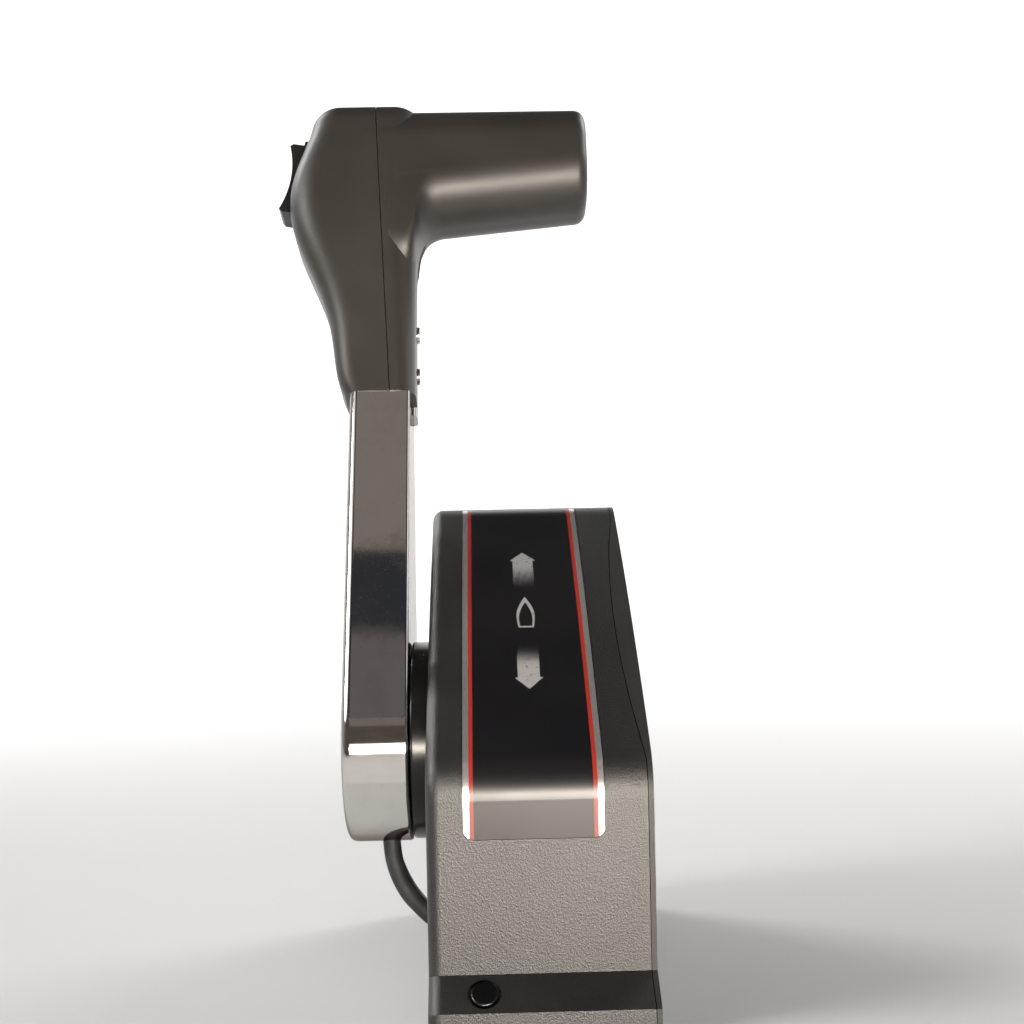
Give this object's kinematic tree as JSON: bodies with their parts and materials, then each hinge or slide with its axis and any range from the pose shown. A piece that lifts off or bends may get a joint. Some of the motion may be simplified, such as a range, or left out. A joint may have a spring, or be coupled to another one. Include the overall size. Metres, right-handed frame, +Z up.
{
  "type": "boat throttle control lever",
  "caption": "Side-mount boat throttle and shift control: a moulded box with a chrome lever, a T grip, a trim rocker and a gear that swings the shift arm.",
  "frame": {"origin": "where the lever's pivot axis meets the mounting face", "axes": "+X out of the mounting face, toward the boat's side; +Y forward; +Z up"},
  "size_m": [0.1255, 0.1597, 0.3151],
  "materials": {
    "housing_plastic": "fine grained black moulding",
    "label_film": "satin black film with silver and red edge lines",
    "chrome": "polished chrome plate",
    "grip_plastic": "satin warm grey moulding",
    "black_plastic": "satin black",
    "steel": "zinc plated or stainless steel",
    "cast_aluminium": "die cast",
    "brass": "plain",
    "nylon": "natural acetal",
    "rubber": "moulded rubber"
  },
  "bodies": {
    "housing": {"arm_pivot_pin": "steel", "cable_grommets": "rubber", "cover_screws": "steel", "detent_rivet": "steel", "detent_spring": "steel", "frame_bush": "brass", "frame_screws": "steel", "friction_band": "steel", "friction_screw": "steel", "gear_frame": "cast_aluminium", "harness_grommet": "rubber", "housing_cover": "housing_plastic", "hub_plate": "black_plastic", "label_panel": "label_film", "lead_grommet": "rubber", "lower_screw": "steel", "mounting_case": "housing_plastic", "neutral_switch": "black_plastic", "pivot_clip": "steel", "shaft_bush": "brass", "trim_lead": "rubber"},
    "control_lever": {"lever_arm": "chrome", "main_shaft": "steel", "shaft_ring": "steel", "hub_screws": "steel", "drive_gear": "nylon", "detent_wheel": "steel", "throttle_crank": "steel", "throttle_cable_pin": "steel", "grip_outer_shell": "grip_plastic", "grip_inner_shell": "grip_plastic", "grip_screws": "steel", "trim_switch_body": "black_plastic", "rocker_pin": "steel", "rod_guide": "nylon", "button_spring": "steel", "lock_spring": "steel"},
    "trim_rocker": {"trim_rocker": "black_plastic"},
    "neutral_lock": {"lock_trigger": "black_plastic", "lock_rod": "steel", "lock_pin": "steel"},
    "throttle_only_button": {"throttle_only_button": "black_plastic"},
    "shift_arm": {"shift_arm": "nylon", "shift_cable_pin": "steel"}
  },
  "joints": [
    {"name": "lever_swing", "type": "hinge", "parent": "housing", "child": "control_lever", "pos_m": [0, 0, 0], "axis": [-1, 0, 0], "range_deg": [-68, 75], "deforming": ["trim_lead", "detent_spring"]},
    {"name": "shift_arm_swing", "type": "hinge", "parent": "housing", "child": "shift_arm", "pos_m": [-0.038, 0.046, 0], "axis": [1, 0, 0], "range_deg": [-31, 34]},
    {"name": "trim_rock", "type": "hinge", "parent": "control_lever", "child": "trim_rocker", "pos_m": [-0.11761, 0.06282, 0.20547], "axis": [0, 0.9563, -0.2924], "range_deg": [-7, 7], "stiffness_Nm_per_rad": 0.4},
    {"name": "neutral_lock_lift", "type": "slide", "parent": "control_lever", "child": "neutral_lock", "axis": [0, 0.2924, 0.9563], "range_m": [0, 0.006], "stiffness_N_per_m": 900, "springref_m": -0.004, "deforming": ["lock_spring"]},
    {"name": "throttle_only_press", "type": "slide", "parent": "control_lever", "child": "throttle_only_button", "axis": [1, 0, 0], "range_m": [0, 0.004], "stiffness_N_per_m": 800, "springref_m": -0.002, "deforming": ["button_spring"]}
  ],
  "couplings": [
    {"joint": "shift_arm_swing", "follows": "lever_swing", "ratio": 0.4375}
  ]
}
